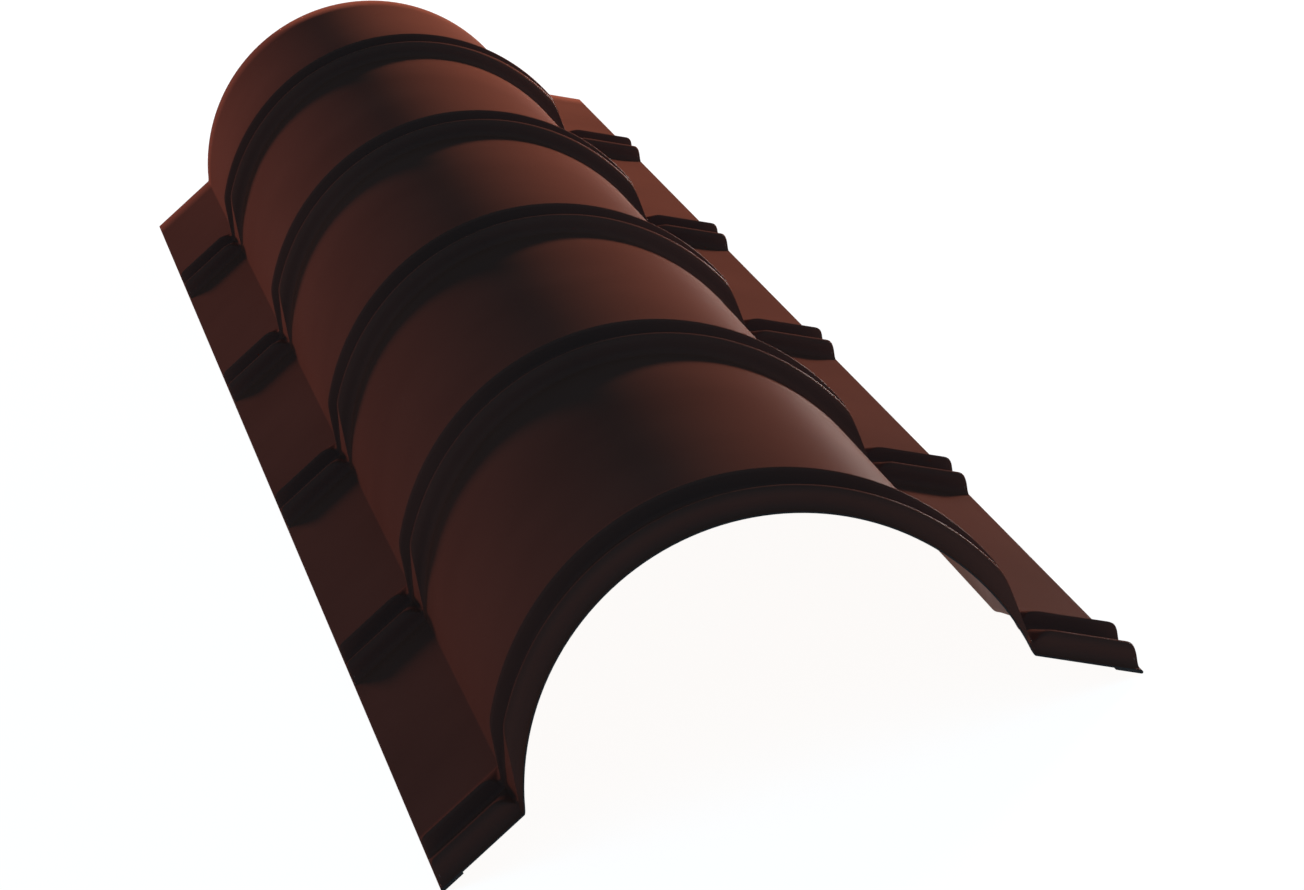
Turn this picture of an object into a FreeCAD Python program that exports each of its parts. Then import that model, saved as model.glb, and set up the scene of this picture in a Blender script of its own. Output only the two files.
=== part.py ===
import FreeCAD
import Part

import math
import os

import Sketcher

doc = FreeCAD.newDocument("ridge_cap")
sheet = doc.addObject("Spreadsheet::Sheet", "sizes")

# The sheet and its folded edges
sheet_gauge = 0.6
hem_width = 12.2
hem_gauge = 1.3

# The plain section between the steps
valley_half_span = 106
valley_round = 8
barrel_drop = 19.2
flange_width = 44.7
flange_slope = 26.2

# The rising step, from its front tooth to the ramp behind its crest
step_rise = 9.8
front_tooth_drop = 0.2
tooth_gap = 34.5
foot_run = 2.5
foot_spread = 2.6
foot_rise = 2.4
front_nose = 4.5
trough_rise = 1.6
trough_round = 2.3
riser_run = 2.5
crest_nose = 1.6
ramp_run = 38

# The flat sides of the raised rings, over the valleys
wall_half_span = 109.5
front_wall_inset = 2.8
wall_lean = 4.5

# The ends of the raised ribs on the flanges
rib_start = 3.3
rib_top_start = 5.8
rib_start_nose = 4.5
rib_end = 1
rib_top_end = 3.6
rib_end_nose = 2.5

# The row of steps along the cap
step_count = 5
step_pitch = 350
front_reach = 42.5
back_reach = 254.5

# Each size fills a cell of the same name
cells = dict(
    sheet_gauge=sheet_gauge,
    hem_width=hem_width,
    hem_gauge=hem_gauge,
    valley_half_span=valley_half_span,
    valley_round=valley_round,
    barrel_drop=barrel_drop,
    flange_width=flange_width,
    flange_slope=flange_slope,
    step_rise=step_rise,
    front_tooth_drop=front_tooth_drop,
    tooth_gap=tooth_gap,
    foot_run=foot_run,
    foot_spread=foot_spread,
    foot_rise=foot_rise,
    front_nose=front_nose,
    trough_rise=trough_rise,
    trough_round=trough_round,
    riser_run=riser_run,
    crest_nose=crest_nose,
    ramp_run=ramp_run,
    wall_half_span=wall_half_span,
    front_wall_inset=front_wall_inset,
    wall_lean=wall_lean,
    rib_start=rib_start,
    rib_top_start=rib_top_start,
    rib_start_nose=rib_start_nose,
    rib_end=rib_end,
    rib_top_end=rib_top_end,
    rib_end_nose=rib_end_nose,
    step_count=step_count,
    step_pitch=step_pitch,
    front_reach=front_reach,
    back_reach=back_reach,
)
for row, (name, number) in enumerate(cells.items(), start=1):
    sheet.set("A%d" % row, name)
    sheet.set("B%d" % row, str(number))
    sheet.setAlias("B%d" % row, name)
doc.recompute()

# Lengths and radii that follow from the sizes
LENGTH = "(sizes.front_reach + (sizes.step_count - 1) * sizes.step_pitch + sizes.back_reach)"
PLAIN_RADIUS = "sqrt(sizes.valley_half_span ^ 2 + sizes.barrel_drop ^ 2)"
OVERRUN = "sizes.step_rise"
DEPTH = "sizes.flange_width"
STEP_FRONT = "(-sizes.tooth_gap - sizes.foot_run - 2 * sizes.foot_spread)"
STEP_BACK = "(sizes.ramp_run * (1 + sizes.foot_rise / sizes.step_rise))"


def value(text):
    return float(sheet.evalExpression(text))


def on_slope(out, lift):
    """Place across the cap of a point out along the right flange and lifted square to it."""
    x = "sizes.valley_half_span + (%s) * cos(sizes.flange_slope) + (%s) * sin(sizes.flange_slope)" % (out, lift)
    z = "(%s) * cos(sizes.flange_slope) - (%s) * sin(sizes.flange_slope)" % (lift, out)
    return x, z


def new_body(name):
    body = doc.addObject("PartDesign::Body", name)
    body.Label = name
    return body


def new_sketch(body, name, role):
    sketch = body.newObject("Sketcher::SketchObject", name)
    plane = next(item for item in body.Origin.OriginFeatures if item.Role == role)
    sketch.AttachmentSupport = (plane, "")
    sketch.MapMode = "FlatFace"
    return sketch


def fix(sketch, kind, where, text):
    """Adds a dimension to a sketch and ties it to the sizes."""
    index = sketch.addConstraint(Sketcher.Constraint(kind, *where, value(text)))
    sketch.setExpression("Constraints[%d]" % index, text)


def fix_point(sketch, item, end, x, y):
    fix(sketch, "DistanceX", (item, end), x)
    fix(sketch, "DistanceY", (item, end), y)


def line(sketch, start, end, construction=False):
    return sketch.addGeometry(Part.LineSegment(FreeCAD.Vector(*start, 0), FreeCAD.Vector(*end, 0)), construction)


def towards(start, end, reach):
    share = reach / math.dist(start, end)
    return (start[0] + (end[0] - start[0]) * share, start[1] + (end[1] - start[1]) * share)


def offset_corners(points, distance):
    """The corners of the outline that runs inside this clockwise one at a distance."""
    moved = []
    for before, here, after in zip(points[-1:] + points[:-1], points, points[1:] + points[:1]):
        ax, ay = here[0] - before[0], here[1] - before[1]
        bx, by = after[0] - here[0], after[1] - here[1]
        a = (ay / math.hypot(ax, ay), -ax / math.hypot(ax, ay))
        b = (by / math.hypot(bx, by), -bx / math.hypot(bx, by))
        scale = distance / (1 + a[0] * b[0] + a[1] * b[1])
        moved.append((here[0] + scale * (a[0] + b[0]), here[1] + scale * (a[1] + b[1])))
    return moved


def outline(sketch, corners, inset=None):
    """A closed clockwise outline of straight lines, with the corners that have a nose cut across.

    With an inset, the lines drawn through the corners only guide the ones that run inside them.
    """
    places = [(value(x), value(y)) for x, y, nose in corners]
    noses = [nose for x, y, nose in corners]
    points = []
    for index, (place, nose) in enumerate(zip(places, noses)):
        if nose:
            points.append(towards(place, places[index - 1], value(nose)))
            points.append(towards(place, places[(index + 1) % len(places)], value(nose)))
        else:
            points.append(place)
    guides = [line(sketch, a, b, inset is not None) for a, b in zip(points, points[1:] + points[:1])]
    for a, b in zip(guides, guides[1:] + guides[:1]):
        sketch.addConstraint(Sketcher.Constraint("Coincident", a, 2, b, 1))
    number = 0
    for (x, y, nose), place in zip(corners, places):
        if not nose:
            fix_point(sketch, guides[number], 1, x, y)
            number += 1
            continue
        tip = sketch.addGeometry(Part.Point(FreeCAD.Vector(*place, 0)), True)
        fix_point(sketch, tip, 1, x, y)
        into, cut, away = guides[number - 1], guides[number], guides[(number + 1) % len(guides)]
        for leg, end in ((into, 1), (away, 2)):
            sketch.addConstraint(Sketcher.Constraint("PointOnObject", tip, 1, leg))
            fix(sketch, "Distance", (tip, 1, cut, end), nose)
        number += 2
    if inset is None:
        return
    inner = offset_corners(points, value(inset))
    edges = [line(sketch, a, b) for a, b in zip(inner, inner[1:] + inner[:1])]
    for a, b, guide in zip(edges, edges[1:] + edges[:1], guides):
        sketch.addConstraint(Sketcher.Constraint("Coincident", a, 2, b, 1))
        sketch.addConstraint(Sketcher.Constraint("Parallel", a, guide))
        fix(sketch, "Distance", (a, 1, guide), inset)


def pad(body, sketch, length, flipped=False, both_ways=False):
    feature = body.newObject("PartDesign::Pad", sketch.Name + "_pad")
    feature.Profile = sketch
    feature.setExpression("Length", length)
    feature.Reversed = flipped
    feature.Midplane = both_ways
    body.Tip = feature
    return feature


def along_row(body, features):
    """Repeats features at every step."""
    row = body.newObject("PartDesign::LinearPattern", body.Name + "_row")
    row.Originals = features
    axis = next(item for item in body.Origin.OriginFeatures if item.Role == "Y_Axis")
    row.Direction = (axis, [""])
    row.setExpression("Length", "(sizes.step_count - 1) * sizes.step_pitch")
    row.setExpression("Occurrences", "sizes.step_count")
    body.Tip = row
    return row


def step_corners(base, inset=None):
    """The two teeth of a step from the front, with the crest at zero and rises over a base."""
    second = "(sizes.step_rise - sizes.front_tooth_drop)"
    return [
        (STEP_FRONT, base + " - sizes.foot_rise", None),
        (
            "-sizes.tooth_gap - sizes.foot_run * (1 - sizes.foot_rise / %s)" % second,
            base + " + sizes.foot_rise",
            None,
        ),
        ("-sizes.tooth_gap", base + " + " + second, "sizes.front_nose"),
        ("-sizes.riser_run", base + " + sizes.trough_rise", "sizes.trough_round"),
        ("0", base + " + sizes.step_rise", "sizes.crest_nose"),
        (STEP_BACK, base + " - sizes.foot_rise", None),
    ]


def rings(name, inset):
    """The steps on the barrel: teeth turned round its axis, then cut flat at both sides."""
    turned = new_body(name + "_turned")
    sketch = new_sketch(turned, name + "_teeth", "YZ_Plane")
    outline(sketch, step_corners(PLAIN_RADIUS), inset)
    ring = turned.newObject("PartDesign::Revolution", name + "_revolution")
    ring.Profile = sketch
    ring.ReferenceAxis = (sketch, ["H_Axis"])
    ring.Angle = 180
    ring.Midplane = True
    along_row(turned, [ring])

    walls = new_body(name + "_walls")
    pads = []
    for side, start, out in (
        ("front", STEP_FRONT, "sizes.wall_half_span - sizes.front_wall_inset"),
        ("rear", "(-2 * sizes.riser_run)", "sizes.wall_half_span"),
    ):
        low = "%s + sizes.barrel_drop * tan(sizes.wall_lean)" % out
        top = PLAIN_RADIUS + " + 2 * sizes.step_rise"
        high = "%s - (%s - sizes.barrel_drop) * tan(sizes.wall_lean)" % (out, top)
        sketch = new_sketch(walls, name + "_" + side, "XZ_Plane")
        begin = start + (" + " + inset if inset else "")
        sketch.setExpression("AttachmentOffset.Base.z", "-(%s)" % begin)
        corners = [("-(%s)" % low, "0", None), ("-(%s)" % high, top, None), (high, top, None), (low, "0", None)]
        outline(sketch, corners, inset)
        pads.append(pad(walls, sketch, "%s - (%s)" % (STEP_BACK, begin), flipped=True))
    along_row(walls, pads)
    for body in (turned, walls):
        body.setExpression("Placement.Base.y", "sizes.front_reach")
        body.setExpression("Placement.Base.z", "-sizes.barrel_drop")
    return both(name, turned, walls)


def both(name, base, tool):
    common = doc.addObject("Part::Common", name)
    common.Base = base
    common.Tool = tool
    return common


def ribs(name, inset, to_hem=False):
    """The steps on the right flange: teeth drawn across it, with their two ends sloped, and the left ones."""
    drawn = new_body(name + "_drawn")
    sketch = new_sketch(drawn, name + "_teeth", "YZ_Plane")
    outline(sketch, step_corners("0"), inset)
    along_row(drawn, [pad(drawn, sketch, "2 * sizes.flange_width", both_ways=True)])

    ends = new_body(name + "_ends")
    sketch = new_sketch(ends, name + "_slopes", "XZ_Plane")
    fall = "sizes.foot_rise / sizes.step_rise"
    slope_in = "(sizes.rib_top_start + sizes.rib_start)"
    slope_out = "(sizes.rib_top_end - sizes.rib_end)"
    corners = [
        ("-sizes.rib_start - %s * %s" % (slope_in, fall), "-sizes.foot_rise", None),
        ("sizes.rib_top_start", "sizes.step_rise", "sizes.rib_start_nose"),
    ]
    if to_hem:
        stop = "sizes.flange_width - sizes.hem_width + sizes.sheet_gauge"
        corners += [(stop, "sizes.step_rise", None), (stop, "-sizes.foot_rise", None)]
    else:
        corners += [
            ("sizes.flange_width - sizes.rib_top_end", "sizes.step_rise", "sizes.rib_end_nose"),
            ("sizes.flange_width - sizes.rib_end + %s * %s" % (slope_out, fall), "-sizes.foot_rise", None),
        ]
    outline(sketch, corners, inset)
    sketch.setExpression("AttachmentOffset.Base.z", OVERRUN)
    pad(ends, sketch, LENGTH + " + 2 * " + OVERRUN, flipped=True)
    drawn.setExpression("Placement.Base.y", "sizes.front_reach")
    for body in (drawn, ends):
        body.Placement.Rotation = FreeCAD.Rotation(FreeCAD.Vector(0, 1, 0), value("sizes.flange_slope"))
        body.setExpression("Placement.Rotation.Angle", "sizes.flange_slope")
        body.setExpression("Placement.Base.x", "sizes.valley_half_span")
    right = both(name + "_right", drawn, ends)
    left = doc.addObject("Part::Mirroring", name + "_left")
    left.Source = right
    left.Normal = FreeCAD.Vector(1, 0, 0)
    return [right, left]


def plain(name, inset, corners, start, length):
    """Everything under the plain section: barrel, valley roundings and flanges, out to the given corners."""
    body = new_body(name)
    sketch = new_sketch(body, name + "_section", "XZ_Plane")
    radius = value(PLAIN_RADIUS)
    slope = math.radians(value("sizes.flange_slope"))
    blend = value("sizes.valley_round")
    drop = value("sizes.barrel_drop")
    span = value("sizes.valley_half_span")
    shift = value(inset)
    axis_out = drop * math.sin(slope) - span * math.cos(slope)
    axis_lift = -span * math.sin(slope) - drop * math.cos(slope)
    out = axis_out + math.sqrt((radius + blend) ** 2 - (blend - axis_lift) ** 2)
    hub = (span + out * math.cos(slope) + blend * math.sin(slope), blend * math.cos(slope) - out * math.sin(slope))
    turn = math.atan2(hub[1] + drop, hub[0])
    barrel = sketch.addGeometry(
        Part.ArcOfCircle(
            Part.Circle(FreeCAD.Vector(0, -drop, 0), FreeCAD.Vector(0, 0, 1), radius - shift), turn, math.pi / 2
        )
    )
    valley = sketch.addGeometry(
        Part.ArcOfCircle(
            Part.Circle(FreeCAD.Vector(*hub, 0), FreeCAD.Vector(0, 0, 1), blend + shift),
            turn - math.pi,
            -math.pi / 2 - slope,
        )
    )
    places = [(value(x), value(y)) for x, y in corners]
    foot = (hub[0] - (blend + shift) * math.sin(slope), hub[1] - (blend + shift) * math.cos(slope))
    lines = [line(sketch, a, b) for a, b in zip([foot] + places, places)]
    crown = (0, radius - shift - drop)
    middle = line(sketch, places[-1], crown)
    fix_point(sketch, barrel, 3, "0", "-sizes.barrel_drop")
    fix(sketch, "Radius", (barrel,), PLAIN_RADIUS + " - " + inset)
    fix(sketch, "Radius", (valley,), "sizes.valley_round + " + inset)
    sketch.addConstraint(Sketcher.Constraint("Tangent", barrel, 1, valley, 1))
    sketch.addConstraint(Sketcher.Constraint("Tangent", valley, 2, lines[0], 1))
    for a, b in zip(lines, lines[1:]):
        sketch.addConstraint(Sketcher.Constraint("Coincident", a, 2, b, 1))
    for item, (x, y) in zip(lines, corners):
        fix_point(sketch, item, 2, x, y)
    x, y = on_slope("0", "-" + inset)
    crease = sketch.addGeometry(Part.Point(FreeCAD.Vector(value(x), value(y), 0)), True)
    fix_point(sketch, crease, 1, x, y)
    sketch.addConstraint(Sketcher.Constraint("PointOnObject", crease, 1, lines[0]))
    sketch.addConstraint(Sketcher.Constraint("Coincident", lines[-1], 2, middle, 1))
    sketch.addConstraint(Sketcher.Constraint("Coincident", middle, 2, barrel, 2))
    sketch.addConstraint(Sketcher.Constraint("Vertical", middle))
    sketch.setExpression("AttachmentOffset.Base.z", "-(%s)" % start)
    half = pad(body, sketch, length, flipped=True)
    whole = body.newObject("PartDesign::Mirrored", name + "_mirrored")
    whole.Originals = [half]
    whole.MirrorPlane = (next(item for item in body.Origin.OriginFeatures if item.Role == "YZ_Plane"), [""])
    body.Tip = whole
    return body


def fused(name, parts):
    union = doc.addObject("Part::MultiFuse", name)
    union.Shapes = parts
    return union


# The form of the upper face, and the form of the under face with the folded edges left thicker
edge_x, edge_z = on_slope("sizes.flange_width", "-2 * sizes.hem_gauge")
upper_corners = [
    on_slope("sizes.flange_width", "0"),
    (edge_x, edge_z),
    (edge_x, "-" + DEPTH),
    ("0", "-" + DEPTH),
]
upper_plain = plain("upper_plain", "0", upper_corners, "0", LENGTH)
upper = fused("upper", [upper_plain, rings("upper_rings", None)] + ribs("upper_ribs", None))

hem_start = "sizes.flange_width - sizes.hem_width"
past_x, past_z = on_slope("sizes.flange_width + " + OVERRUN, "-sizes.hem_gauge")
under_corners = [
    on_slope(hem_start, "-sizes.sheet_gauge"),
    on_slope(hem_start, "-sizes.hem_gauge"),
    (past_x, past_z),
    (past_x, "-2 * " + DEPTH),
    ("0", "-2 * " + DEPTH),
]
under_plain = plain("under_plain", "sizes.sheet_gauge", under_corners, "-" + OVERRUN, LENGTH + " + 2 * " + OVERRUN)
under = fused(
    "under",
    [under_plain, rings("under_rings", "sizes.sheet_gauge")]
    + ribs("under_ribs", "sizes.sheet_gauge", to_hem=True)
    + ribs("hem_ribs", "sizes.hem_gauge"),
)

# The pressed sheet is what lies between the two forms
cap = doc.addObject("Part::Cut", "ridge_cap")
cap.Base = upper
cap.Tool = under
cap.Refine = True
cap.Label = "ridge_cap"
cap.setExpression("Placement.Base.y", "-%s / 2" % LENGTH)
lowest = "sizes.flange_width * sin(sizes.flange_slope) + sizes.hem_gauge * cos(sizes.flange_slope)"
cap.setExpression("Placement.Base.z", lowest)
doc.recompute()

for item in doc.Objects:
    if "Invalid" in item.State or "Error" in item.State:
        raise RuntimeError(item.Label + " didn't rebuild")
if cap.Shape.isNull() or not cap.Shape.isValid() or len(cap.Shape.Solids) != 1:
    raise RuntimeError("ridge_cap isn't one valid solid")

os.makedirs("parts", exist_ok=True)
cap.Shape.Solids[0].exportStep("parts/ridge_cap.step")
box = cap.Shape.BoundBox
print("ridge_cap", box.XLength, box.YLength, box.ZLength, "low", box.ZMin)
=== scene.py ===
"""A pressed steel roof ridge cap with a matt dark brown coat, on a white studio floor."""

import math

import bmesh
import bpy
from mathutils import Matrix, Vector


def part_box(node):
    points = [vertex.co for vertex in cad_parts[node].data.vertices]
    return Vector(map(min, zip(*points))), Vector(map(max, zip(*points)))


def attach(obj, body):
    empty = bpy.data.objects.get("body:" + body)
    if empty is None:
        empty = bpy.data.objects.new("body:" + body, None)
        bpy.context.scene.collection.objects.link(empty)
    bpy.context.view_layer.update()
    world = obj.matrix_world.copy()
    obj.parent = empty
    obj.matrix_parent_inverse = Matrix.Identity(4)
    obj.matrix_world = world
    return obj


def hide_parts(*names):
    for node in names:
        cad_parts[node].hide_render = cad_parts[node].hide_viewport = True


bl_info = {
    "name": "Ridge cap",
    "version": (1, 0, 0),
    "blender": (4, 5, 0),
    "location": "View3D > Sidebar > Ridge cap",
    "description": "Presses a roof ridge cap from one sheet and sets it in a white studio",
    "category": "Add Mesh",
}

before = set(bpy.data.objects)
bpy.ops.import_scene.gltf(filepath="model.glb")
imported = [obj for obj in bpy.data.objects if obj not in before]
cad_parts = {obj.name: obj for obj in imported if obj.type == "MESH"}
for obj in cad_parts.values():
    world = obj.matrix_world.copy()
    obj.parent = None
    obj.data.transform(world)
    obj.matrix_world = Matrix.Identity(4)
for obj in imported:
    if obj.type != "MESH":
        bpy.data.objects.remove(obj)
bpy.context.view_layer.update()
(_, FRONT_END, FLOOR), (_, BACK_END, _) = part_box("ridge_cap")


# Sizes and colours


class RidgeCapSettings(bpy.types.PropertyGroup):
    """Sizes of the pressed sheet and the colours of its coats."""

    gauge: bpy.props.FloatProperty(
        name="Gauge",
        description="Thickness of the sheet",
        default=0.0006,
        unit="LENGTH",
        precision=4,
    )
    valley_half_span: bpy.props.FloatProperty(
        name="Valley half span",
        description="From the middle to each crease between barrel and flange",
        default=0.106,
        unit="LENGTH",
    )
    barrel_drop: bpy.props.FloatProperty(
        name="Barrel drop",
        description="How far the barrel's axis lies under the creases",
        default=0.0192,
        unit="LENGTH",
    )
    flange_width: bpy.props.FloatProperty(
        name="Flange width",
        description="From a crease to the outer edge",
        default=0.0447,
        unit="LENGTH",
    )
    flange_slope: bpy.props.FloatProperty(
        name="Flange slope",
        description="Fall of each flange",
        default=math.radians(26.2),
        unit="ROTATION",
    )
    hem_width: bpy.props.FloatProperty(
        name="Hem width",
        description="Sheet folded back under each outer edge",
        default=0.0122,
        unit="LENGTH",
    )
    hem_gauge: bpy.props.FloatProperty(
        name="Hem thickness",
        description="The folded edge over both of its layers",
        default=0.0013,
        unit="LENGTH",
    )
    step_rise: bpy.props.FloatProperty(
        name="Step rise",
        description="Height of a step over the plain sheet",
        default=0.0098,
        unit="LENGTH",
    )
    step_count: bpy.props.IntProperty(
        name="Steps",
        description="Double steps along the cap",
        default=5,
        min=1,
    )
    step_pitch: bpy.props.FloatProperty(
        name="Step pitch",
        description="Spacing of the steps",
        default=0.35,
        unit="LENGTH",
    )
    front_reach: bpy.props.FloatProperty(
        name="Front reach",
        description="From the front end to the first crest",
        default=0.0425,
        unit="LENGTH",
    )
    wall_half_span: bpy.props.FloatProperty(
        name="Wall half span",
        description="From the middle to a ring's flat side at the crease",
        default=0.1095,
        unit="LENGTH",
    )
    front_wall_inset: bpy.props.FloatProperty(
        name="Front wall inset",
        description="How much narrower the front tooth is",
        default=0.0028,
        unit="LENGTH",
    )
    wall_lean: bpy.props.FloatProperty(
        name="Wall lean",
        description="Lean of the rings' flat sides",
        default=math.radians(4.5),
        unit="ROTATION",
    )
    rib_start: bpy.props.FloatProperty(
        name="Rib start",
        description="Inner end of a rib's slope, in from the crease",
        default=0.0033,
        unit="LENGTH",
    )
    rib_top_start: bpy.props.FloatProperty(
        name="Rib top start",
        description="Inner end of a rib's flat top, out from the crease",
        default=0.0058,
        unit="LENGTH",
    )
    rib_end: bpy.props.FloatProperty(
        name="Rib end",
        description="Outer foot of a rib, in from the edge",
        default=0.001,
        unit="LENGTH",
    )
    rib_top_end: bpy.props.FloatProperty(
        name="Rib top end",
        description="Outer end of a rib's flat top, in from the edge",
        default=0.0036,
        unit="LENGTH",
    )
    front_tooth_drop: bpy.props.FloatProperty(
        name="Front tooth drop",
        description="How much lower the front tooth is",
        default=0.0002,
        unit="LENGTH",
        precision=4,
    )
    trough_rise: bpy.props.FloatProperty(
        name="Trough rise",
        description="Height left between the two teeth",
        default=0.0016,
        unit="LENGTH",
    )
    ramp_run: bpy.props.FloatProperty(
        name="Ramp run",
        description="Length of the slope behind a crest",
        default=0.038,
        unit="LENGTH",
    )
    riser_run: bpy.props.FloatProperty(
        name="Riser run",
        description="Length over which a step's front climbs",
        default=0.0025,
        unit="LENGTH",
    )
    tooth_gap: bpy.props.FloatProperty(
        name="Tooth gap",
        description="Between the two teeth of a step",
        default=0.0345,
        unit="LENGTH",
    )
    coat_colour: bpy.props.FloatVectorProperty(
        name="Top coat",
        description="Matt brown paint",
        subtype="COLOR",
        default=(0.08, 0.021, 0.0125),
        min=0,
        max=1,
    )
    underside_colour: bpy.props.FloatVectorProperty(
        name="Back coat",
        description="Thin beige paint underneath",
        subtype="COLOR",
        default=(0.3, 0.17, 0.135),
        min=0,
        max=1,
    )
    steel_colour: bpy.props.FloatVectorProperty(
        name="Cut edge",
        description="Bare zinc and steel",
        subtype="COLOR",
        default=(0.11, 0.075, 0.065),
        min=0,
        max=1,
    )


def settings():
    return bpy.context.scene.ridge_cap


# The line of the steps along the length

CHORDS = 6
LONGEST_PIECE = 0.03
FOOT_RADIUS = 0.0045
NOSE_RADIUS = 0.0047
TROUGH_RADIUS = 0.0026
CREST_RADIUS = 0.002
RAMP_RADIUS = 0.03
WALL_CHANGE = 0.0024


def rounded_line(corners, radii):
    """A polyline through the corners, with short chords round each inner one."""
    line = [Vector(corners[0])]
    for before, corner, after, radius in zip(corners, corners[1:], corners[2:], radii):
        corner = Vector(corner)
        back = (Vector(before) - corner).normalized()
        ahead = (Vector(after) - corner).normalized()
        half = back.angle(ahead) / 2
        reach = radius / math.tan(half)
        hub = corner + (back + ahead).normalized() * (radius / math.sin(half))
        start = corner + back * reach - hub
        end = corner + ahead * reach - hub
        line += [hub + start.slerp(end, i / CHORDS) * radius for i in range(CHORDS + 1)]
    line.append(Vector(corners[-1]))
    return line


def stations(sizes):
    """Places along the cap, with the steps' rise and how far in the rings' walls stand there."""
    first = FRONT_END + sizes.front_reach
    crests = [first + number * sizes.step_pitch for number in range(sizes.step_count)]
    corners = [(FRONT_END, 0)]
    radii = []
    for crest in crests:
        front_tooth = crest - sizes.tooth_gap
        corners += [
            (front_tooth - sizes.riser_run, 0),
            (front_tooth, sizes.step_rise - sizes.front_tooth_drop),
            (crest - sizes.riser_run, sizes.trough_rise),
            (crest, sizes.step_rise),
            (crest + sizes.ramp_run, 0),
        ]
        radii += [FOOT_RADIUS, NOSE_RADIUS, TROUGH_RADIUS, CREST_RADIUS, RAMP_RADIUS]
    corners.append((BACK_END, 0))
    line = rounded_line(corners, radii)
    places = [line[0]]
    for a, b in zip(line, line[1:]):
        pieces = max(1, round((b - a).length / LONGEST_PIECE))
        places += [a.lerp(b, i / pieces) for i in range(1, pieces + 1)]
    out = []
    for place in places:
        behind = min((place.x - crest for crest in crests), key=abs)
        blend = (WALL_CHANGE / 2 - 2 * sizes.riser_run - behind) / WALL_CHANGE
        wall_inset = sizes.front_wall_inset * max(0, min(1, blend))
        out.append((place.x, max(0, place.y), wall_inset))
    return out


# The section across the cap

ARC_CHORDS = 34
KINK_CHORDS = 5
VALLEY_CHORDS = 7
RIB_INNER_CHORDS = 8
RIB_OUTER_CHORDS = 6
RIB_FOOT_CHORDS = 3
TOP_PLACES = (0.2, 0.4, 0.6)
HEM_PLACES = (0.81, 0.86)
KINK_REACH = 0.004
VALLEY_REACH = 0.004
VALLEY_REACH_AT_RIB = 0.0018
RIB_INNER_REACH = 0.0048
RIB_OUTER_REACH = 0.0032
RIB_FOOT_REACH = 0.0005
LONGEST_REACH = 0.48
LEAST_WALL = 0.006
SHORT_TOP = 0.0008
WELL_INSIDE = 0.02


def lerp(a, b, part):
    return (a[0] + (b[0] - a[0]) * part, a[1] + (b[1] - a[1]) * part)


def soft_corner(before, corner, after, reach, count):
    """Points of a curve round a corner that leaves one leg and joins the other a reach away."""

    def leave(leg):
        return lerp(corner, leg, min(LONGEST_REACH, reach / max(1e-9, math.dist(corner, leg))))

    start, end = leave(before), leave(after)
    parts = [i / count for i in range(count + 1)]
    return [lerp(lerp(start, corner, part), lerp(corner, end, part), part) for part in parts]


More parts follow.
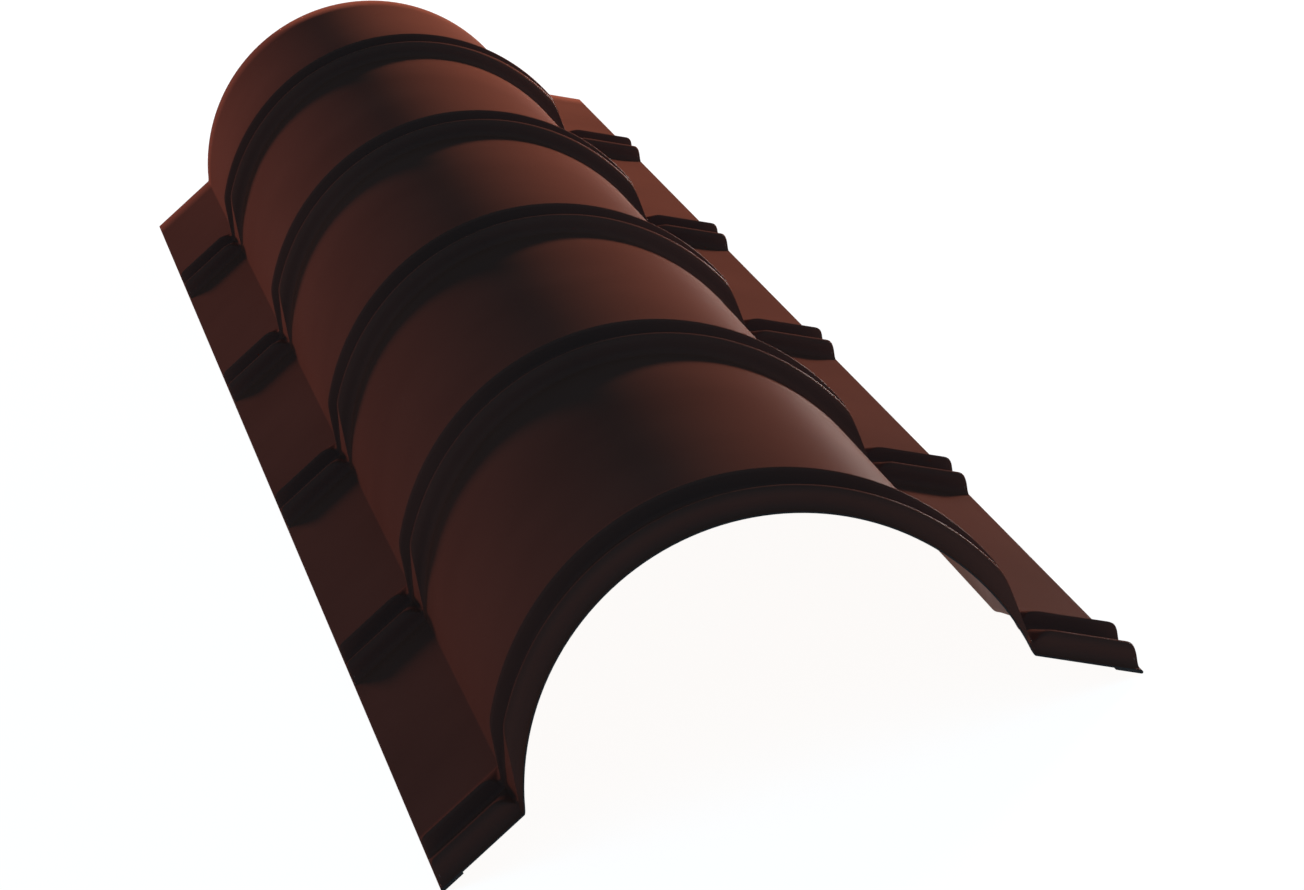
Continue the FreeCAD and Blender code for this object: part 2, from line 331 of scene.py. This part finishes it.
def right_half(sizes, rise, wall_inset):
    """Points from the crown to the right edge, as x out and z over the crease, for one rise."""
    slope = sizes.flange_slope
    share = rise / sizes.step_rise
    drop = sizes.barrel_drop
    radius = math.hypot(sizes.valley_half_span, drop) + rise
    wall_foot = sizes.wall_half_span - wall_inset
    lean = math.tan(sizes.wall_lean)

    def flange(out, lift):
        x = sizes.valley_half_span + out * math.cos(slope) + lift * math.sin(slope)
        return (x, lift * math.cos(slope) - out * math.sin(slope))

    def ring(angle):
        return (radius * math.sin(angle), radius * math.cos(angle) - drop)

    def side_meets(point, angle):
        """Where a line from inside meets the barrel's side: its wall or its ring, the nearer."""
        dx, dz = math.cos(angle), math.sin(angle)
        to_wall = (wall_foot - point[1] * lean - point[0]) / (dx + dz * lean)
        px, pz = point[0], point[1] + drop
        along = px * dx + pz * dz
        to_ring = -along + math.sqrt(along * along - px * px - pz * pz + radius * radius)
        reach = min(to_wall, to_ring)
        return (point[0] + dx * reach, point[1] + dz * reach)

    run = sizes.rib_top_start + sizes.rib_start
    rib_angle = math.atan2(sizes.step_rise, run)
    valley = side_meets(flange(-sizes.rib_start, 0), rib_angle - slope)
    inner = flange(run * share - sizes.rib_start, rise)
    top_valley = side_meets(flange(-WELL_INSIDE, rise), -slope)
    if inner[0] < top_valley[0] + SHORT_TOP / 2:
        valley = top_valley
        inner = (valley[0] + SHORT_TOP * math.cos(slope), valley[1] - SHORT_TOP * math.sin(slope))

    # The kink is where the ring ends in its flat wall.
    square = 1 + lean * lean
    middle = drop - wall_foot * lean
    inside = middle * middle - square * (wall_foot**2 + drop**2 - radius**2)
    kink_z = (math.sqrt(inside) - middle) / square if inside > 0 else -1
    kink_z = max(kink_z, valley[1] + LEAST_WALL)
    kink_angle = math.acos(min(1, (kink_z + drop) / radius))
    kink = (radius * math.sin(kink_angle), kink_z)
    arc_end = kink_angle - KINK_REACH * share / radius

    width = sizes.flange_width
    top_end = sizes.rib_end + (sizes.rib_top_end - sizes.rib_end) * share
    outer = flange(width - top_end, rise)
    foot = flange(width - sizes.rib_end, 0)
    edge = flange(width - sizes.hem_gauge / 2, 0)
    hem_place = width - sizes.hem_width + sizes.rib_start
    hem_place /= width - sizes.rib_end + sizes.rib_start
    valley_reach = VALLEY_REACH + (VALLEY_REACH_AT_RIB - VALLEY_REACH) * share
    before_kink = lerp(kink, ring(arc_end), 2)
    points = [ring(arc_end * i / ARC_CHORDS) for i in range(ARC_CHORDS)]
    points += soft_corner(before_kink, kink, valley, KINK_REACH * share, KINK_CHORDS)
    points += [lerp(kink, valley, 0.5)]
    points += soft_corner(kink, valley, inner, valley_reach, VALLEY_CHORDS)
    points += soft_corner(valley, inner, outer, RIB_INNER_REACH * share, RIB_INNER_CHORDS)
    points += [lerp(inner, outer, part) for part in (*TOP_PLACES, hem_place, *HEM_PLACES)]
    points += soft_corner(inner, outer, foot, RIB_OUTER_REACH * share, RIB_OUTER_CHORDS)
    points += soft_corner(outer, foot, edge, RIB_FOOT_REACH * share, RIB_FOOT_CHORDS)
    points.append(edge)
    return points


def skin_points(sizes):
    """Rows of points of the upper face, each across the cap from the left edge to the right."""
    slope = sizes.flange_slope
    crease_height = sizes.flange_width * math.sin(slope) + sizes.hem_gauge * math.cos(slope)
    rows = []
    for along, rise, wall_inset in stations(sizes):
        right = right_half(sizes, rise, wall_inset)
        across = [(-x, z) for x, z in reversed(right[1:])] + right
        rows.append([Vector((x, along, z + crease_height)) for x, z in across])
    return rows


# The folded edges

FOLD_CHORDS = 6
HEM_COLUMNS = (RIB_FOOT_CHORDS + 1) + (RIB_OUTER_CHORDS + 1) + len(HEM_PLACES) + 1
NORMAL_CHORD = 0.0012


def point_normal(rows, row, column):
    """The upward direction square to the skin, over a chord about as wide as the hem is thick."""
    last_row = len(rows) - 1
    last_column = len(rows[0]) - 1
    along = rows[min(row + 1, last_row)][column] - rows[max(row - 1, 0)][column]
    across = Vector((0, 0, 0))
    step = 1
    while across.length < NORMAL_CHORD:
        right = rows[row][min(column + step, last_column)]
        left = rows[row][max(column - step, 0)]
        across = right - left
        step += 1
    return across.cross(along).normalized()


def with_hems(sizes, rows):
    """Adds to each row the fold round each edge and the hem that lies under it."""
    fold = sizes.hem_gauge / 2
    rise, run = math.sin(sizes.flange_slope), math.cos(sizes.flange_slope)
    full = []
    for number, row in enumerate(rows):
        sides = []
        for edge, step in ((0, 1), (len(row) - 1, -1)):
            up = Vector((-step * rise, 0, run))
            out = Vector((-step * run, 0, -rise))
            hem = []
            for i in range(1, FOLD_CHORDS + 1):
                angle = math.pi * i / FOLD_CHORDS
                round_edge = up * (math.cos(angle) - 1) + out * math.sin(angle)
                hem.append(row[edge] + round_edge * fold)
            for i in range(1, HEM_COLUMNS + 1):
                column = edge + step * i
                hem.append(row[column] - point_normal(rows, number, column) * sizes.hem_gauge)
            sides.append(hem)
        full.append(list(reversed(sides[0])) + row + sides[1])
    return full


# Materials

CLOUDING = 0.08


def node(tree, kind, **inputs):
    made = tree.nodes.new(kind)
    for name, value in inputs.items():
        made.inputs[name.replace("_", " ")].default_value = value
    return made


def paint_material(name, colour, roughness, grain):
    """Matt polyester paint: a fine wrinkle in the surface and slight clouding of the colour."""
    material = bpy.data.materials.new(name)
    material.use_nodes = True
    tree = material.node_tree
    shader = tree.nodes["Principled BSDF"]
    shader.inputs["Roughness"].default_value = roughness
    shader.inputs["Specular IOR Level"].default_value = 0.0
    shader.inputs["Coat Weight"].default_value = 0.2
    shader.inputs["Coat Roughness"].default_value = 0.4
    place = tree.nodes.new("ShaderNodeTexCoord")
    cloud = node(tree, "ShaderNodeTexNoise", Scale=9.0, Detail=3.0, Roughness=0.5)
    tree.links.new(place.outputs["Object"], cloud.inputs["Vector"])
    tint = tree.nodes.new("ShaderNodeValToRGB")
    dark, light = tint.color_ramp.elements
    dark.position, light.position = 0.3, 0.7
    dark.color = (*[c * (1 - CLOUDING) for c in colour], 1)
    light.color = (*[min(1, c * (1 + CLOUDING)) for c in colour], 1)
    tree.links.new(cloud.outputs["Fac"], tint.inputs["Fac"])
    tree.links.new(tint.outputs["Color"], shader.inputs["Base Color"])
    wrinkle = node(tree, "ShaderNodeTexNoise", Scale=900.0, Detail=2.0, Roughness=0.6)
    tree.links.new(place.outputs["Object"], wrinkle.inputs["Vector"])
    bump = node(tree, "ShaderNodeBump", Strength=grain, Distance=0.00004)
    tree.links.new(wrinkle.outputs["Fac"], bump.inputs["Height"])
    tree.links.new(bump.outputs["Normal"], shader.inputs["Normal"])
    return material


def steel_edge_material(colour):
    """The cut edge: dull zinc and steel with a fine mottle."""
    material = bpy.data.materials.new("cut_edge")
    material.use_nodes = True
    tree = material.node_tree
    shader = tree.nodes["Principled BSDF"]
    shader.inputs["Metallic"].default_value = 0.6
    shader.inputs["Roughness"].default_value = 0.55
    place = tree.nodes.new("ShaderNodeTexCoord")
    streak = node(tree, "ShaderNodeTexNoise", Scale=300.0, Detail=4.0)
    tree.links.new(place.outputs["Object"], streak.inputs["Vector"])
    tint = tree.nodes.new("ShaderNodeValToRGB")
    dark, light = tint.color_ramp.elements
    dark.color = (*[c * 0.6 for c in colour], 1)
    light.color = (*colour, 1)
    tree.links.new(streak.outputs["Fac"], tint.inputs["Fac"])
    tree.links.new(tint.outputs["Color"], shader.inputs["Base Color"])
    return material


# The pressed sheet

WELD = 0.000002


def pressed_sheet(sizes):
    """The outer skin: a flat grid pressed over the steps, with its edges folded under."""
    rows = with_hems(sizes, skin_points(sizes))
    columns = len(rows[0]) - 1
    lines = len(rows) - 1
    mesh = bmesh.new()
    bmesh.ops.create_grid(mesh, x_segments=columns, y_segments=lines, size=1)
    for vert in mesh.verts:
        column = round((vert.co.x + 1) / 2 * columns)
        row = round((vert.co.y + 1) / 2 * lines)
        vert.co = rows[row][column]
    bmesh.ops.remove_doubles(mesh, verts=mesh.verts, dist=WELD)
    bmesh.ops.recalc_face_normals(mesh, faces=mesh.faces)
    crown = max(mesh.faces, key=lambda face: face.calc_center_median().z)
    if crown.normal.z < 0:
        bmesh.ops.reverse_faces(mesh, faces=mesh.faces)
    return mesh


class RIDGECAP_OT_press_sheet(bpy.types.Operator):
    """Make the pressed and painted ridge cap"""

    bl_idname = "ridgecap.press_sheet"
    bl_label = "Press the sheet"

    def execute(self, context):
        sizes = settings()
        mesh = pressed_sheet(sizes)
        data = bpy.data.meshes.new("ridge_cap_sheet")
        mesh.to_mesh(data)
        mesh.free()
        cap = bpy.data.objects.new("ridge_cap_sheet", data)
        context.collection.objects.link(cap)
        data.materials.append(paint_material("brown_coat", sizes.coat_colour, 0.55, 0.35))
        data.materials.append(paint_material("back_coat", sizes.underside_colour, 0.6, 0.2))
        data.materials.append(steel_edge_material(sizes.steel_colour))
        data.shade_smooth()
        wall = cap.modifiers.new("sheet", "SOLIDIFY")
        wall.thickness = sizes.gauge
        wall.offset = -1
        wall.use_even_offset = False
        wall.material_offset = 1
        wall.material_offset_rim = 2
        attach(cap, "root")
        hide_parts("ridge_cap")
        return {"FINISHED"}


# The studio

LAMP_TARGET = Vector((0, 0, 0.05))
FLOOR_HALF_SIZE = 12
FLOOR_GAP = 0.0005
FLOOR_WHITE = 0.96
# Strength of the floor's glow onto the cap: painted light from below, given off by the floor
# itself rather than reflected.
FLOOR_GLOW_ON_CAP = 0.5


def lamp(name, place, size, power, colour, shine):
    """A soft rectangular lamp aimed at the cap. Without shine it leaves no highlight."""
    light = bpy.data.lights.new(name, "AREA")
    light.shape = "RECTANGLE"
    light.size, light.size_y = size
    light.energy = power
    light.color = colour
    made = bpy.data.objects.new(name, light)
    made.location = place
    made.visible_glossy = shine
    aim = LAMP_TARGET - Vector(place)
    made.rotation_euler = aim.to_track_quat("-Z", "Y").to_euler()
    bpy.context.collection.objects.link(made)


def white_floor_material():
    """White to the eye with a faint shadow; the floor also glows, casting painted light from
    below up at the cap.
    """
    material = bpy.data.materials.new("white_floor")
    material.use_nodes = True
    tree = material.node_tree
    shader = tree.nodes["Principled BSDF"]
    shader.inputs["Roughness"].default_value = 0.9
    shader.inputs["Specular IOR Level"].default_value = 0.0
    shader.inputs["Emission Color"].default_value = (1, 0.985, 0.97, 1)
    path = tree.nodes.new("ShaderNodeLightPath")
    shade = tree.nodes.new("ShaderNodeValToRGB")
    shade.color_ramp.elements[0].color = (0.8, 0.8, 0.8, 1)
    shade.color_ramp.elements[1].color = (0.15, 0.15, 0.15, 1)
    tree.links.new(path.outputs["Is Camera Ray"], shade.inputs["Fac"])
    tree.links.new(shade.outputs["Color"], shader.inputs["Base Color"])
    white = tree.nodes.new("ShaderNodeMath")
    white.operation = "MULTIPLY"
    white.inputs[1].default_value = FLOOR_WHITE
    tree.links.new(path.outputs["Is Camera Ray"], white.inputs[0])
    # For diffuse rays the floor glows: painted light that lights the cap and its inside from
    # below.
    cap_glow = tree.nodes.new("ShaderNodeMath")
    cap_glow.operation = "MULTIPLY_ADD"
    cap_glow.inputs[1].default_value = FLOOR_GLOW_ON_CAP
    tree.links.new(path.outputs["Is Diffuse Ray"], cap_glow.inputs[0])
    tree.links.new(white.outputs["Value"], cap_glow.inputs[2])
    tree.links.new(cap_glow.outputs["Value"], shader.inputs["Emission Strength"])
    return material


def white_floor():
    mesh = bmesh.new()
    bmesh.ops.create_grid(mesh, x_segments=1, y_segments=1, size=FLOOR_HALF_SIZE)
    bmesh.ops.translate(mesh, verts=mesh.verts, vec=(0, 0, FLOOR - FLOOR_GAP))
    data = bpy.data.meshes.new("floor")
    mesh.to_mesh(data)
    mesh.free()
    data.materials.append(white_floor_material())
    floor = bpy.data.objects.new("floor", data)
    bpy.context.collection.objects.link(floor)
    floor.visible_glossy = False


def white_world():
    """White where the camera looks past the cap, and a low cool fill on the cap itself."""
    world = bpy.data.worlds.new("white_studio")
    bpy.context.scene.world = world
    world.use_nodes = True
    world.cycles_visibility.glossy = False
    tree = world.node_tree
    path = tree.nodes.new("ShaderNodeLightPath")
    mix = tree.nodes.new("ShaderNodeMix")
    mix.data_type = "RGBA"
    fill, white = [socket for socket in mix.inputs if socket.type == "RGBA"]
    fill.default_value = (0.16, 0.45, 0.7, 1)
    white.default_value = (1, 1, 1, 1)
    tree.links.new(path.outputs["Is Camera Ray"], mix.inputs["Factor"])
    result = next(socket for socket in mix.outputs if socket.type == "RGBA")
    tree.links.new(result, tree.nodes["Background"].inputs["Color"])


def view_camera():
    """Stands at the front, a little left of the cap and well above it, and leans to one side."""
    data = bpy.data.cameras.new("camera")
    data.lens = 169.44
    data.sensor_width = 36
    data.clip_end = 50
    camera = bpy.data.objects.new("camera", data)
    camera.location = (-0.2177, -3.1711, 0.6769)
    azimuth, pitch, roll = math.radians(4.926), math.radians(12.787), math.radians(15.978)
    level = math.cos(pitch)
    look = Vector((math.sin(azimuth) * level, math.cos(azimuth) * level, -math.sin(pitch)))
    turn = look.to_track_quat("-Z", "Y").to_matrix().to_4x4()
    camera.rotation_euler = (turn @ Matrix.Rotation(-roll, 4, "Z")).to_euler()
    bpy.context.collection.objects.link(camera)
    bpy.context.scene.camera = camera


class RIDGECAP_OT_set_studio(bpy.types.Operator):
    """Set the floor, the lamps and the camera"""

    bl_idname = "ridgecap.set_studio"
    bl_label = "Set the studio"

    def execute(self, context):
        white_floor()
        white_world()
        lamp(
            "right_lamp",
            place=(2.6, 3.1, 0.3),
            size=(0.6, 0.4),
            power=525,
            colour=(1, 0.93, 0.82),
            shine=False,
        )
        lamp(
            "back_lamp",
            place=(3.0, 4.6, 0.42),
            size=(0.9, 0.75),
            power=60,
            colour=(1, 0.95, 0.9),
            shine=True,
        )
        lamp(
            "left_lamp",
            place=(-1.6, 4.3, 0.2),
            size=(0.9, 0.3),
            power=325,
            colour=(1, 0.8, 0.8),
            shine=False,
        )
        view_camera()
        context.scene.view_settings.view_transform = "Standard"
        return {"FINISHED"}


class RIDGECAP_PT_panel(bpy.types.Panel):
    """Lists the steps that make the cap"""

    bl_label = "Ridge cap"
    bl_idname = "RIDGECAP_PT_panel"
    bl_space_type = "VIEW_3D"
    bl_region_type = "UI"
    bl_category = "Ridge cap"

    def draw(self, context):
        for name in RidgeCapSettings.__annotations__:
            self.layout.prop(context.scene.ridge_cap, name)
        self.layout.operator("ridgecap.press_sheet")
        self.layout.operator("ridgecap.set_studio")


CLASSES = (
    RidgeCapSettings,
    RIDGECAP_OT_press_sheet,
    RIDGECAP_OT_set_studio,
    RIDGECAP_PT_panel,
)


def register():
    for item in CLASSES:
        bpy.utils.register_class(item)
    bpy.types.Scene.ridge_cap = bpy.props.PointerProperty(type=RidgeCapSettings)


def unregister():
    del bpy.types.Scene.ridge_cap
    for item in reversed(CLASSES):
        bpy.utils.unregister_class(item)


def main():
    register()
    bpy.ops.ridgecap.press_sheet()
    bpy.ops.ridgecap.set_studio()


if __name__ == "__main__":
    main()
